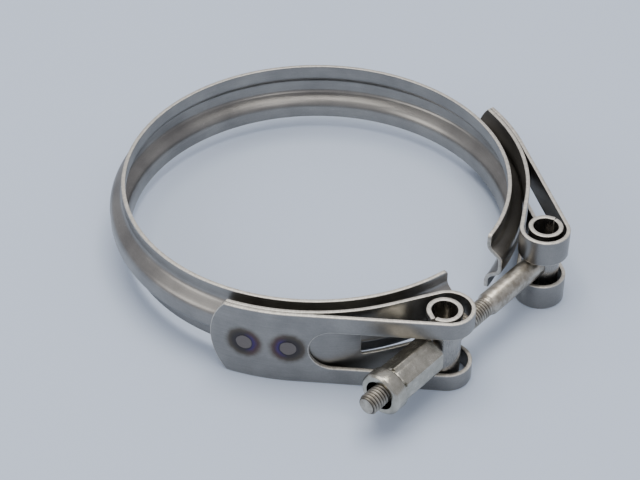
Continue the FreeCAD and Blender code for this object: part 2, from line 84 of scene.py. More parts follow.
STRAP_LIFT = 0.00005
LEAF_GAP = 0.0001
STRAP_END_ANGLE = radians(76)
STRAP_END_RADIUS = 0.019
LOOP_RADIUS = 0.0062
LOOP_REACH = 0.0721
LOOP_ANGLE = radians(18.5)
SLOT_END_ANGLE = radians(50.8)
INNER_SLOT_ANGLE = radians(37.8)
LOOP_SLOT_SETBACK = 0.0115
TRUNNION_SLOT = 0.0135
BOLT_SLOT = 0.0082

WELD_RADIUS = 0.0025
WELD_ANGLES = (radians(56.1), radians(66.6))

BARREL_RADIUS = 0.0051
BARREL_WALL = 0.0014
SEAM_GAP = 0.00013
TRUNNION_TAIL = 0.0026
HEAD_TAIL = 0.0012
TRUNNION_BORE = 0.00315

SHANK_RADIUS = 0.0035
THREAD_RADIUS = 0.00297
THREAD_PITCH = 0.0010
THREAD_DEPTH = 0.00058
THREAD_LENGTH = 0.0539
END_CHAMFER = 0.0006
END_SLOPE = 0.9

NUT_FLATS = 0.0050
NUT_CORNERS = 0.00566
COLLAR_RADIUS = 0.00638
COLLAR_LENGTH = 0.0050
NUT_BORE = 0.00306
COUNTERBORE_RADIUS = 0.0043
COUNTERBORE_DEPTH = 0.0038

LOOP_MIDDLE = LOOP_RADIUS + SHEET / 2
INNER_LEAF = LIP_RADIUS + GROOVE_DEPTH + SHEET * 1.5 + STRAP_LIFT
OUTER_LEAF = INNER_LEAF + SHEET + LEAF_GAP

# How finely each sheet is divided: the longest straight step, and the widest turn of a bend.
RING_FINENESS = (0.0011, radians(9))
STRAP_FINENESS = (0.0022, radians(6))
BARREL_FINENESS = (0.0010, radians(6))
RING_STEPS = 200
STRAP_ROWS = 6
BARREL_ROWS = 5

# Radius of a sheet's cut edge on each of its faces.
RING_EDGE = (0.00024, 0.00014)
STRAP_EDGE = (0.00026, 0.00014)
BARREL_EDGE = (0.00022, 0.00022)
EDGE_STEPS = 3
RIM_CLEARANCE = 0.0003

# Edges that turn further than this are drawn sharp.
SHEET_SHARP = radians(38)
NUT_SHARP = radians(28)
ROD_SHARP = radians(50)
WELD_SHARP = radians(60)

NEGLIGIBLE = 1e-7
SHORTEST_EDGE = 0.00006
DRILL_REACH = 0.01


# ---------------------------------------------------------------- paths

class Path:
    """Straight runs and arcs in a plane, followed by distance."""

    def __init__(self):
        self.pieces = []
        self.length = 0.0

    def line(self, start, end):
        run = hypot(end[0] - start[0], end[1] - start[1])
        self.pieces.append(("line", self.length, run, start, end))
        self.length += run

    def arc(self, centre, radius, start, end):
        run = radius * abs(end - start)
        self.pieces.append(("arc", self.length, run, centre, radius, start, end))
        self.length += run

    def at(self, distance):
        """Position and right-hand normal at a distance along the path."""
        for piece in self.pieces:
            kind, begin, run = piece[:3]
            if distance <= begin + run or piece is self.pieces[-1]:
                break
        share = (distance - begin) / run
        if kind == "line":
            start, end = piece[3:]
            x = start[0] + (end[0] - start[0]) * share
            y = start[1] + (end[1] - start[1]) * share
            return (x, y), ((end[1] - start[1]) / run, -(end[0] - start[0]) / run)
        centre, radius, first, last = piece[3:]
        angle = first + (last - first) * share
        out = (cos(angle), sin(angle))
        turn = 1 if last > first else -1
        return (centre[0] + radius * out[0], centre[1] + radius * out[1]), (turn * out[0], turn * out[1])

    def stops(self, straight, turn):
        """Distances at most straight apart on runs and at most turn radians apart on arcs."""
        found = []
        for piece in self.pieces:
            begin, run = piece[1:3]
            parts = run / straight
            if piece[0] == "arc":
                parts = max(parts, abs(piece[6] - piece[5]) / turn)
            count = max(1, ceil(parts))
            found += [begin + run * step / count for step in range(count)]
        return found[1:]


def corner_path(corners, bends):
    """Path through corners, each inner one rounded to its middle radius."""
    path = Path()
    start = Vector(corners[0])
    for before, corner, after, radius in zip(corners, corners[1:], corners[2:], bends):
        arriving = (Vector(corner) - Vector(before)).normalized()
        leaving = (Vector(after) - Vector(corner)).normalized()
        turn = acos(arriving.dot(leaving))
        reach = radius * tan(turn / 2)
        first = Vector(corner) - arriving * reach
        left = arriving.x * leaving.y - arriving.y * leaving.x > 0
        side = 1 if left else -1
        centre = first + Vector((-arriving.y, arriving.x)) * radius * side
        begin = atan2(first.y - centre.y, first.x - centre.x)
        path.line(tuple(start), tuple(first))
        path.arc(tuple(centre), radius, begin, begin + turn * side)
        start = Vector(corner) + leaving * reach
    path.line(tuple(start), tuple(corners[-1]))
    return path


# ---------------------------------------------------------------- sheet metal

def inside(points, loops):
    """True for each point with an odd number of outline crossings to its right."""
    found = np.zeros(len(points), dtype=bool)
    for loop in loops:
        ring = np.array(loop)
        following = np.roll(ring, -1, axis=0)
        for (ax, ay), (bx, by) in zip(ring, following):
            spans = (ay > points[:, 1]) != (by > points[:, 1])
            if not spans.any():
                continue
            crossing = ax + (points[spans, 1] - ay) * (bx - ax) / (by - ay)
            found[spans] ^= points[spans, 0] < crossing
    return found


def divided(loop, across, along):
    """The closed outline with a point added wherever it crosses a grid line."""
    result = []
    for start, end in zip(loop, loop[1:] + loop[:1]):
        shares = {0.0}
        for axis, values in ((0, across), (1, along)):
            low, high = sorted((start[axis], end[axis]))
            if high - low < NEGLIGIBLE:
                continue
            first, last = np.searchsorted(values, (low + 10 * NEGLIGIBLE, high - 10 * NEGLIGIBLE))
            run = end[axis] - start[axis]
            shares |= {(value - start[axis]) / run for value in values[first:last]}
        for share in sorted(shares):
            point = (start[0] + (end[0] - start[0]) * share, start[1] + (end[1] - start[1]) * share)
            if not result or hypot(point[0] - result[-1][0], point[1] - result[-1][1]) > SHORTEST_EDGE:
                result.append(point)
    return result


def outward(loop):
    """Unit normals of a closed outline, pointing away from the metal."""
    ring = np.array(loop)
    edges = np.roll(ring, -1, axis=0) - ring
    edges /= np.linalg.norm(edges, axis=1)[:, None]
    normals = np.stack((edges[:, 1], -edges[:, 0]), axis=1)
    joined = normals + np.roll(normals, 1, axis=0)
    joined /= np.linalg.norm(joined, axis=1)[:, None]
    stretch = 1 / np.clip((joined * normals).sum(axis=1), 0.6, 1.0)
    return joined * stretch[:, None]


def sheet_solid(name, loops, place, thickness, across, along, rounding):
    """Solid of constant thickness about a surface, with rounded sheared edges.

    loops are closed outlines on the flat blank, the outer one anticlockwise and holes clockwise.
    place(u, v) gives the surface's point and normal. rounding is the edge radius on each face."""
    across, along = np.array(sorted(across)), np.array(sorted(along))
    loops = [divided(loop, across, along) for loop in loops]
    normals = [outward(loop) for loop in loops]
    rims = [np.array(loop) - normal * max(rounding) for loop, normal in zip(loops, normals)]
    margin = max(rounding) + RIM_CLEARANCE
    grid = np.array([(u, v) for u in across for v in along])
    grid = grid[inside(grid, loops)]
    rim_points = np.concatenate(rims)
    near = np.array([np.hypot(*(rim_points - point).T).min() for point in grid])
    grid = grid[near > margin]
    flat = np.concatenate((rim_points, grid))
    links, begin = [], 0
    for rim in rims:
        links += [(begin + step, begin + (step + 1) % len(rim)) for step in range(len(rim))]
        begin += len(rim)
    out = geometry.delaunay_2d_cdt([Vector(point) for point in flat], links, [], 0, 1e-9)
    points, triangles, origins = out[0], out[2], out[3]
    centres = np.array([sum((points[corner] for corner in face), Vector((0, 0))) / 3
                        for face in triangles])
    in_metal = inside(centres, [list(map(tuple, rim)) for rim in rims])
    kept = [face for face, wanted in zip(triangles, in_metal) if wanted]
    source = {}
    for index, froms in enumerate(origins):
        for origin in froms:
            source[origin] = index

    mesh = bmesh.new()

    def put(u, v, height):
        point, normal = place(u, v)
        return mesh.verts.new(Vector(point) + Vector(normal) * height)

    rim_count = len(rim_points)
    rim_home = [(loop, step) for loop, rim in enumerate(rims) for step in range(len(rim))]
    faces_of = {}
    for face_side, radius in zip((1, -1), rounding):
        level = {}
        for index, point in enumerate(points):
            origin = next((o for o in origins[index] if o < rim_count), None)
            u, v = point
            if origin is not None:
                loop, step = rim_home[origin]
                u, v = np.array(loops[loop][step]) - normals[loop][step] * radius
            level[index] = put(u, v, face_side * thickness / 2)
        for face in kept:
            mesh.faces.new([level[corner] for corner in face])
        faces_of[face_side] = level

    start = 0
    for loop, normal in zip(loops, normals):
        rings = []
        count = len(loop)
        for face_side, radius in zip((1, -1), rounding):
            ladder = [[faces_of[face_side][source[start + step]] for step in range(count)]]
            for rung in range(1, EDGE_STEPS + 1):
                angle = pi / 2 * rung / EDGE_STEPS
                inset = radius * (1 - sin(angle))
                height = face_side * (thickness / 2 - radius * (1 - cos(angle)))
                ladder.append([put(*(np.array(loop[step]) - normal[step] * inset), height)
                               for step in range(count)])
            rings += ladder if face_side == 1 else ladder[::-1]
        for upper, lower in zip(rings, rings[1:]):
            for step in range(count):
                following = (step + 1) % count
                face = mesh.faces.new((upper[step], upper[following], lower[following], lower[step]))
                face.material_index = 1
        start += count
    return finish_mesh(name, mesh)


def finish_mesh(name, mesh, sharp=SHEET_SHARP):
    """Object from a bmesh, with faces turned outward and smooth shading up to an angle."""
    bmesh.ops.remove_doubles(mesh, verts=mesh.verts, dist=NEGLIGIBLE)
    bmesh.ops.dissolve_degenerate(mesh, edges=mesh.edges, dist=NEGLIGIBLE)
    loose = [vert for vert in mesh.verts if not vert.link_faces]
    bmesh.ops.delete(mesh, geom=loose, context="VERTS")
    bmesh.ops.recalc_face_normals(mesh, faces=mesh.faces)
    data = bpy.data.meshes.new(name)
    mesh.to_mesh(data)
    mesh.free()
    for polygon in data.polygons:
        polygon.use_smooth = True
    data.set_sharp_from_angle(angle=sharp)
    piece = bpy.data.objects.new(name, data)
    bpy.context.collection.objects.link(piece)
    return piece


# ---------------------------------------------------------------- the V retainer

def retainer():
    """The ring: its section followed round the axis from one side of the gap to the other."""
    inside_split_ring = 0.000002
    lip = LIP_RADIUS + SHEET / 2
    web = lip + GROOVE_DEPTH - inside_split_ring
    lip_corner = WEB_CORNER + GROOVE_DEPTH * tan(LEG_SLOPE)
    corners = [(lip, -RING_HALF), (lip, -lip_corner), (web, -WEB_CORNER),
               (web, WEB_CORNER), (lip, lip_corner), (lip, RING_HALF)]
    bends = [LIP_BEND + SHEET / 2, WEB_BEND + SHEET / 2, WEB_BEND + SHEET / 2, LIP_BEND + SHEET / 2]
    section = corner_path(corners, bends)
    full = (2 * pi - 2 * GAP_HALF_ANGLE) * web

    def place(u, v):
        (radius, height), (out, up) = section.at(u)
        angle = GAP_HALF_ANGLE + v / web
        return ((-radius * sin(angle), -radius * cos(angle), height),
                (-out * sin(angle), -out * cos(angle), up))

    width, nose = section.length, 0.0011
    outline = []
    for x, y, first in ((width - nose, nose, -90), (width - nose, full - nose, 0),
                        (nose, full - nose, 90), (nose, nose, 180)):
        for step in range(7):
            angle = radians(first + 15 * step)
            outline.append((x + nose * cos(angle), y + nose * sin(angle)))
    across = section.stops(*RING_FINENESS)
    along = [full * step / RING_STEPS for step in range(1, RING_STEPS)]
    return sheet_solid("v_retainer", [outline], place, SHEET, across, along, RING_EDGE)


# ---------------------------------------------------------------- the straps

def strap_path():
    """The folded strap in plan on the +X side: inner leaf, loop, outer leaf."""
    inner_leave = LOOP_ANGLE + acos((INNER_LEAF + LOOP_MIDDLE) / LOOP_REACH)
    outer_leave = LOOP_ANGLE + acos((OUTER_LEAF - LOOP_MIDDLE) / LOOP_REACH)
    centre = (LOOP_REACH * sin(LOOP_ANGLE), -LOOP_REACH * cos(LOOP_ANGLE))

    def ring_point(angle, radius):
        return (radius * sin(angle), -radius * cos(angle))

    def loop_point(angle, radius):
        x, y = ring_point(angle, radius)
        return (centre[0] + x, centre[1] + y)

    quarter = pi / 2
    path = Path()
    path.arc((0, 0), INNER_LEAF, STRAP_END_ANGLE - quarter, inner_leave - quarter)
    path.line(ring_point(inner_leave, INNER_LEAF), loop_point(inner_leave, -LOOP_MIDDLE))
    path.arc(centre, LOOP_MIDDLE, inner_leave + quarter, outer_leave + 3 * quarter)
    path.line(loop_point(outer_leave, LOOP_MIDDLE), ring_point(outer_leave, OUTER_LEAF))
    slot_end = path.length - OUTER_LEAF * sin(outer_leave - SLOT_END_ANGLE)
    path.arc((0, 0), OUTER_LEAF, outer_leave - quarter, STRAP_END_ANGLE - quarter)
    loop_slot = INNER_LEAF * (STRAP_END_ANGLE - inner_leave) + LOOP_SLOT_SETBACK
    return path, slot_end, loop_slot


def strap_blank(path, slot_end, loop_slot, slot):
    """Outlines of the flat strip: round ends, one long slot, narrower inside, and weld holes."""

    def cut_back(width):
        return STRAP_END_RADIUS - sqrt(STRAP_END_RADIUS ** 2 - width ** 2)

    widths = [-STRAP_HALF + STRAP_HALF * step / 10 for step in range(21)]
    outline = [(path.length - cut_back(width), width) for width in widths]
    outline += [(cut_back(width), width) for width in reversed(widths)]

    half, corner = slot / 2, 0.0009
    slot_start = INNER_LEAF * (STRAP_END_ANGLE - INNER_SLOT_ANGLE)
    opening = []
    for step in range(25):
        angle = radians(90 - 7.5 * step)
        opening.append((slot_end - half + half * cos(angle), half * sin(angle)))
    narrow = BOLT_SLOT / 2
    if half > narrow:
        opening.append((loop_slot, -half))
        opening.append((loop_slot, -narrow))
    for middle, first in ((-narrow + corner, -90), (narrow - corner, -180)):
        for step in range(6):
            angle = radians(first - 18 * step)
            opening.append((slot_start + corner + corner * cos(angle), middle + corner * sin(angle)))
    if half > narrow:
        opening.append((loop_slot, narrow))
        opening.append((loop_slot, half))
    holes = []
    for weld in WELD_ANGLES:
        middle = path.length - OUTER_LEAF * (STRAP_END_ANGLE - weld)
        holes.append([(middle + WELD_RADIUS * cos(-radians(15 * step)),
                       WELD_RADIUS * sin(-radians(15 * step))) for step in range(24)])
    return [outline, opening] + holes


def strap(name, side, slot):
    path, slot_end, loop_slot = strap_path()

    def place(u, v):
        (x, y), (normal_x, normal_y) = path.at(u)
        return (side * x, y, TRUNNION.z + v), (side * normal_x, normal_y, 0)

    across = path.stops(*STRAP_FINENESS)
    along = [STRAP_HALF * step / STRAP_ROWS for step in range(1 - STRAP_ROWS, STRAP_ROWS)]
    loops = strap_blank(path, slot_end, loop_slot, slot)
    return sheet_solid(name, loops, place, SHEET, across, along, STRAP_EDGE)


# ---------------------------------------------------------------- turned and threaded pieces

def tube(mesh, rings, closed_ends=(False, False)):
    """Quads between rings of equal count, with a fan at each end that is closed."""
    made = [[mesh.verts.new(point) for point in ring] for ring in rings]
    count = len(made[0])
    for first, second in zip(made, made[1:]):
        for step in range(count):
            following = (step + 1) % count
            mesh.faces.new((first[step], first[following], second[following], second[step]))
    for ring, closed in zip((made[0], made[-1]), closed_ends):
        if closed:
            middle = mesh.verts.new(sum((vert.co for vert in ring), Vector()) / count)
            for step in range(count):
                mesh.faces.new((ring[step], ring[(step + 1) % count], middle))


def turned(name, stations, count, shape):
    """Piece turned about the bolt line. Each station is (x, radius, keeps to the shape)."""
    mesh = bmesh.new()
    rings = []
    for x, radius, shaped in stations:
        ring = []
        for step in range(count):
            angle = 2 * pi * step / count
            reach = min(radius, shape(angle)) if shaped else radius
            ring.append((x, TRUNNION.y + reach * cos(angle), TRUNNION.z + reach * sin(angle)))
        rings.append(ring)
    tube(mesh, rings + rings[:1])
    return finish_mesh(name, mesh, NUT_SHARP)


def hexagon(angle):
    """Distance from the nut's axis to its flats, with the corners turned off."""
    sector = (angle + radians(30)) % radians(60) - radians(30)
    return min(NUT_FLATS / cos(sector), NUT_CORNERS)


def sleeve_nut():
    """Hex sleeve with a round collar, necked behind it, and a counterbore in the collar."""
    shoulder = NUT_OUTER + COLLAR_LENGTH
    floor = NUT_OUTER + COUNTERBORE_DEPTH
    chamfer, soft, neck = 0.0006, 0.00012, 0.0007
    stations = [(floor, NUT_BORE, False), (floor, COUNTERBORE_RADIUS - 0.0002, False),
                (floor - 0.0002, COUNTERBORE_RADIUS, False),
                (NUT_OUTER + soft, COUNTERBORE_RADIUS, False),
                (NUT_OUTER + soft * 0.3, COUNTERBORE_RADIUS + soft * 0.3, False),
                (NUT_OUTER, COUNTERBORE_RADIUS + soft, False)]
    stations += [(NUT_OUTER, COLLAR_RADIUS - chamfer - soft, False),
                 (NUT_OUTER + soft * 0.3, COLLAR_RADIUS - chamfer - soft * 0.2, False),
                 (NUT_OUTER + chamfer - soft * 0.3, COLLAR_RADIUS - soft * 0.9, False),
                 (NUT_OUTER + chamfer + soft * 0.5, COLLAR_RADIUS - soft * 0.15, False),
                 (NUT_OUTER + chamfer + soft * 1.6, COLLAR_RADIUS, False),
                 (shoulder - chamfer - soft, COLLAR_RADIUS, False),
                 (shoulder - chamfer + soft * 0.3, COLLAR_RADIUS - soft * 0.5, False),
                 (shoulder - soft * 0.3, COLLAR_RADIUS - chamfer + soft * 0.3, False),
                 (shoulder, COLLAR_RADIUS - chamfer, False)]
    stations += [(shoulder, NUT_FLATS - 0.0001, True),
                 (shoulder + neck * 0.7, NUT_FLATS - 0.0001, True),
                 (shoulder + neck, NUT_FLATS, True), (shoulder + neck * 1.5, NUT_CORNERS, True),
                 (NUT_INNER - 0.0005, NUT_CORNERS, True),
                 (NUT_INNER - 0.00022, NUT_CORNERS - soft, True),
                 (NUT_INNER - soft, NUT_FLATS, True), (NUT_INNER, NUT_FLATS - soft, True),
                 (NUT_INNER, NUT_BORE + 0.0004, False), (NUT_INNER - 0.0004, NUT_BORE, False)]
    return turned("nut_sleeve", stations, 144, hexagon)


THREAD_FORM = ((0.0, 1.0), (0.07, 0.97), (0.40, 0.06), (0.5, 0.0), (0.60, 0.06), (0.93, 0.97))


def thread_reach(x, height):
    """Radius of the thread at a place, less the end chamfer and the run-out by the shank."""
    run_out = 0.0022
    fade = min(1.0, max(0.0, (ROD_END + THREAD_LENGTH - x) / run_out))
    radius = THREAD_RADIUS - THREAD_DEPTH * (1 - height) * fade
    return min(radius, THREAD_RADIUS - END_CHAMFER + (x - ROD_END) * END_SLOPE)


def t_bolt():
    """M6 rod with a real helix, a chamfered end and a plain shank welded into its head."""
    count, form = 48, len(THREAD_FORM)
    first, last = ROD_END + 0.0001, ROD_END + THREAD_LENGTH
    turns = ceil(THREAD_LENGTH / THREAD_PITCH) + 2
    mesh = bmesh.new()

    def on_rod(x, radius, angle):
        return (x, HEAD.y + radius * cos(angle), HEAD.z + radius * sin(angle))

    rows = []
    for step in range(count):
        angle = 2 * pi * step / count
        row = []
        for column in range(form * turns):
            share, height = THREAD_FORM[column % form]
            x = first + THREAD_PITCH * (column // form - 1 + share + step / count)
            x = min(max(x, first), last)
            row.append(mesh.verts.new(on_rod(x, thread_reach(x, height), angle)))
        rows.append(row)
    for step in range(count):
        shift = form if step == count - 1 else 0
        row, following = rows[step], rows[(step + 1) % count]
        for column in range(form * turns - 1 - shift):
            mesh.faces.new((row[column], row[column + 1],
                            following[column + 1 + shift], following[column + shift]))
    bmesh.ops.remove_doubles(mesh, verts=mesh.verts, dist=2e-6)
    bmesh.ops.dissolve_degenerate(mesh, edges=mesh.edges, dist=2e-6)

    angles = [2 * pi * step / count for step in range(count)]
    end_radius = THREAD_RADIUS - END_CHAMFER
    face = [(first, end_radius + (first - ROD_END) * END_SLOPE), (ROD_END + 0.00003, end_radius),
            (ROD_END, end_radius - 0.0001), (ROD_END, end_radius * 0.6), (ROD_END, end_radius * 0.25)]
    tube(mesh, [[on_rod(x, radius, angle) for angle in angles] for x, radius in face], (False, True))
    shank = [(last, THREAD_RADIUS), (last + 0.00035, SHANK_RADIUS - 0.0001),
             (last + 0.0006, SHANK_RADIUS), (ROD_INSIDE - 0.004, SHANK_RADIUS),
             (ROD_INSIDE - 0.0003, SHANK_RADIUS), (ROD_INSIDE, SHANK_RADIUS - 0.0003)]
    tube(mesh, [[on_rod(x, radius, angle) for angle in angles] for x, radius in shank], (False, True))
    return finish_mesh("t_bolt_rod", mesh, ROD_SHARP)


# ---------------------------------------------------------------- the rolled barrels

def barrel(name, pivot, side, tail):
    """Tube rolled from strip, its last edge left straight beside the seam."""
    middle = BARREL_RADIUS - BARREL_WALL / 2
    corner = atan2(tail, middle)
    turn = 1 if side < 0 else -1
    leave = pi - corner if side < 0 else corner
    inner_face = middle - BARREL_WALL / 2
    seam = atan2(tail, inner_face) + SEAM_GAP / hypot(tail, inner_face)
    butt = leave + turn * seam
    path = Path()
    sweep = 2 * pi - seam
    path.arc((pivot.x, pivot.y), middle, butt, butt + turn * sweep)
    leave_point = (pivot.x + middle * cos(leave), pivot.y + middle * sin(leave))
    path.line(leave_point, (leave_point[0] - turn * tail * sin(leave),
                            leave_point[1] + turn * tail * cos(leave)))

    def place(u, v):
        (x, y), (normal_x, normal_y) = path.at(u)
        return (x, y, pivot.z + v), (turn * normal_x, turn * normal_y, 0)

    across = path.stops(*BARREL_FINENESS)
    along = [BARREL_HALF * step / BARREL_ROWS for step in range(1 - BARREL_ROWS, BARREL_ROWS)]
    end, half = path.length, BARREL_HALF
    outline = [(0, -half), (end, -half), (end, half), (0, half)]
    return sheet_solid(name, [outline], place, BARREL_WALL, across, along, BARREL_EDGE)


def cross_hole(piece, pivot, radius, start, end):
    """Cuts a round hole along the bolt line."""
    mesh = bmesh.new()
    count = 64
    around = [2 * pi * step / count for step in range(count)]
    rings = [[(x, pivot.y + radius * cos(angle), pivot.z + radius * sin(angle)) for angle in around]
             for x in (start, end)]
    tube(mesh, rings, (True, True))
    tool = finish_mesh(piece.name + "_drill", mesh)
    cut = piece.modifiers.new("hole", "BOOLEAN")
    cut.operation, cut.solver, cut.object = "DIFFERENCE", "EXACT", tool
    bpy.context.view_layer.objects.active = piece
    bpy.ops.object.modifier_apply(modifier=cut.name)
    bpy.data.objects.remove(tool)
    piece.data.set_sharp_from_angle(angle=SHEET_SHARP)


# ---------------------------------------------------------------- welds

def weld_marks(name, side):
    """Spot welds: a sunk electrode mark outside, ending within the thickness of the retainer."""
    outside = OUTER_LEAF + SHEET / 2
    groove = LIP_RADIUS + GROOVE_DEPTH
    profile = [(0.0, outside - 0.00009), (0.0011, outside - 0.00008), (0.0018, outside - 0.00005),
               (0.0022, outside + 0.00001), (0.0026, outside + 0.00003), (0.0028, outside + 0.00002),
               (0.00288, outside - 0.00004), (0.00246, outside - 0.00045),
               (0.00246, groove + 0.0009), (0.0021, groove + 0.0008), (0.0, groove + 0.0008)]
    count = 36
    mesh = bmesh.new()
    for weld in WELD_ANGLES:
        out = Vector((side * sin(weld), -cos(weld), 0))
        along = Vector((-out.y, out.x, 0))
        rings = []
        for reach, height in profile:
            ring = []
            for step in range(count):
                angle = 2 * pi * step / count
                radius = max(reach, 0.0002)
                sideways = radius * cos(angle)
                fall = sideways ** 2 / (2 * outside)
                rise = Vector((0, 0, TRUNNION.z + radius * sin(angle)))
                ring.append(out * (height - fall) + along * sideways + rise)
            rings.append(ring)
        tube(mesh, rings, (True, True))
    return finish_mesh(name, mesh, WELD_SHARP)


def head_weld():
    """Rippled bead round the rod's end inside the head barrel."""
    reach, depth = 0.0040, 0.0016
    count, rungs = 72, 10
    mesh = bmesh.new()
    rings = []
    for rung in range(rungs + 1):
        turn = pi * rung / rungs
        ring = []
        for step in range(count):
            angle = 2 * pi * step / count
            ripple = 1 + 0.05 * sin(11 * angle) * sin(turn) + 0.03 * sin(3 * angle + 1)
            radius = (SHANK_RADIUS - 0.0006) + (reach - SHANK_RADIUS + 0.0003) * sin(turn) * ripple
            x = ROD_INSIDE - 0.0004 - depth / 2 * cos(turn)
            ring.append((x, HEAD.y + radius * cos(angle), HEAD.z + radius * sin(angle)))
        rings.append(ring)
    tube(mesh, rings, (True, True))
    return finish_mesh("head_weld_bead", mesh, WELD_SHARP)


# ---------------------------------------------------------------- materials

BAND_COLOURS = ((0.19, 0.183, 0.176), (0.345, 0.333, 0.312))
SCUFF_COLOUR = (0.72, 0.70, 0.66)
EDGE_COLOURS = ((0.40, 0.38, 0.34), (0.74, 0.71, 0.65))
TUBE_COLOURS = ((0.20, 0.192, 0.18), (0.42, 0.405, 0.38))
ROD_COLOURS = ((0.30, 0.27, 0.225), (0.50, 0.47, 0.41))
# painted shade: near-black colour for the thread roots
THREAD_ROOT_SHADE = (0.075, 0.068, 0.058)
NUT_COLOURS = ((0.30, 0.285, 0.235), (0.58, 0.555, 0.49))
# painted shade: near-black colour for the nut's bore and counterbore
NUT_BORE_SHADE = (0.02, 0.018, 0.016)
WELD_COLOURS = ((0.20, 0.175, 0.165), (0.30, 0.275, 0.26))
GRAIN_RADIUS = 63.0
MILLIMETRES = 1000.0


class Graph:
    """A node material, built by naming nodes and the values or sockets that feed them."""

    def __init__(self, name):
        self.material = bpy.data.materials.new(name)
        self.material.use_nodes = True
        self.tree = self.material.node_tree
        self.shader = self.tree.nodes["Principled BSDF"]
        metres = self.node("ShaderNodeTexCoord").outputs["Object"]
        scaled = self.node("ShaderNodeVectorMath", {0: metres, "Scale": MILLIMETRES}, operation="SCALE")
        self.place = scaled.outputs[0]

    def node(self, kind, inputs=None, **settings):
        made = self.tree.nodes.new(kind)
        for key, value in settings.items():
            setattr(made, key, value)
        for key, value in (inputs or {}).items():
            self.feed(made.inputs[key], value)
        return made

    def feed(self, socket, value):
        if isinstance(value, bpy.types.NodeSocket):
            self.tree.links.new(value, socket)
        else:
            socket.default_value = value

    def math(self, operation, *values):
        return self.node("ShaderNodeMath", dict(enumerate(values)), operation=operation).outputs[0]

    def vector(self, operation, *values):
        made = self.node("ShaderNodeVectorMath", dict(enumerate(values)), operation=operation)
        plain = operation in ("DOT_PRODUCT", "LENGTH")
        return made.outputs["Value"] if plain else made.outputs[0]

    def weighted(self, *parts):
        """Sum of values, each times its weight."""
        terms = [self.math("MULTIPLY", value, weight) for value, weight in parts]
        total = terms.pop()
        while terms:
            total = self.math("ADD", terms.pop(), total)
        return total

    def between(self, value, low, high):
        """low where the value is 0, and high where it is 1."""
        return self.math("ADD", self.math("MULTIPLY", value, high - low), low)

    def noise(self, vector, scale, detail, rough, distortion=0.0):
        made = self.node("ShaderNodeTexNoise", {"Vector": vector, "Scale": scale, "Detail": detail,
                                                "Roughness": rough, "Distortion": distortion})
        return made.outputs["Fac"]

    def ramp(self, value, stops):
        made = self.node("ShaderNodeValToRGB", {"Fac": value})
        bar = made.color_ramp
        while len(bar.elements) < len(stops):
            bar.elements.new(0.5)
        for element, (position, shade) in zip(bar.elements, stops):
            element.position = position
            element.color = (*shade, 1.0) if isinstance(shade, tuple) else (shade, shade, shade, 1.0)
        return made.outputs["Color"]

    def mix(self, factor, first, second):
        made = self.node("ShaderNodeMix", data_type="RGBA")
        self.feed(made.inputs["Factor"], factor)
        self.feed(made.inputs[6], (*first, 1.0) if isinstance(first, tuple) else first)
        self.feed(made.inputs[7], (*second, 1.0) if isinstance(second, tuple) else second)
        return made.outputs[2]

    def two_tone(self, value, low, high, colours):
        """The dark colour below low, the light one above high, and a mix between them."""
        return self.mix(self.ramp(value, ((low, 0.0), (high, 1.0))), *colours)

    def split(self, vector):
        made = self.node("ShaderNodeSeparateXYZ", {0: vector})
        return made.outputs[0], made.outputs[1], made.outputs[2]

    def join(self, x, y, z):
        return self.node("ShaderNodeCombineXYZ", {0: x, 1: y, 2: z}).outputs[0]

    def stretched(self, parts, factors):
        """A vector of three values, each times its factor, for a grain that runs one way."""
        return self.join(*(self.math("MULTIPLY", value, factor) for value, factor in zip(parts, factors)))

    def round_ring(self):
        """Millimetres round the ring, out from its axis and up, for a grain that follows the band."""
        x, y, z = self.split(self.place)
        around = self.math("MULTIPLY", self.math("ARCTAN2", x, y), GRAIN_RADIUS)
        squares = [self.math("MULTIPLY", part, part) for part in (x, y)]
        out = self.math("SQRT", self.math("ADD", *squares))
        return around, out, z

    def bump(self, height, distance, strength):
        return self.node("ShaderNodeBump", {"Height": height, "Distance": distance,
                                            "Strength": strength}).outputs["Normal"]

    def steel(self, colour, roughness, normal):
        self.feed(self.shader.inputs["Base Color"], colour)
        self.feed(self.shader.inputs["Roughness"], roughness)
        self.feed(self.shader.inputs["Normal"], normal)
        self.feed(self.shader.inputs["Metallic"], 1.0)
        return self.material


def band_steel(name, welds=()):
    """Cold rolled stainless: grain round the band, soft mottling, scuffs, and heat tint at welds."""
    graph = Graph(name)
    place = graph.round_ring()
    grain = graph.noise(graph.stretched(place, (0.035, 2.2, 1.0)), 3.4, 5.0, 0.7)
    cloud = graph.noise(graph.place, 0.09, 3.0, 0.5)
    speck = graph.noise(graph.place, 1.9, 4.0, 0.65)
    tone = graph.weighted((cloud, 0.55), (grain, 0.28), (speck, 0.17))
    colour = graph.two_tone(tone, 0.30, 0.70, BAND_COLOURS)
    scratches = graph.noise(graph.stretched(place, (0.3, 1.0, 1.6)), 0.8, 6.0, 0.75, 0.6)
    scuff = graph.ramp(scratches, ((0.60, 0.0), (0.72, 1.0)))
    colour = graph.mix(graph.math("MULTIPLY", scuff, 0.18), colour, SCUFF_COLOUR)
    rough = graph.between(tone, 0.26, 0.42)
    rough = graph.math("ADD", rough, graph.math("MULTIPLY", scuff, 0.07))
    for centre, neighbour in zip(welds, reversed(welds)):
        colour, rough = heat_tint(graph, centre, neighbour, colour, rough)
    pits = graph.noise(graph.place, 5.5, 2.0, 0.5)
    relief = graph.weighted((grain, 0.7), (pits, 0.3))
    return graph.steel(colour, rough, graph.bump(relief, 0.00003, 0.35))


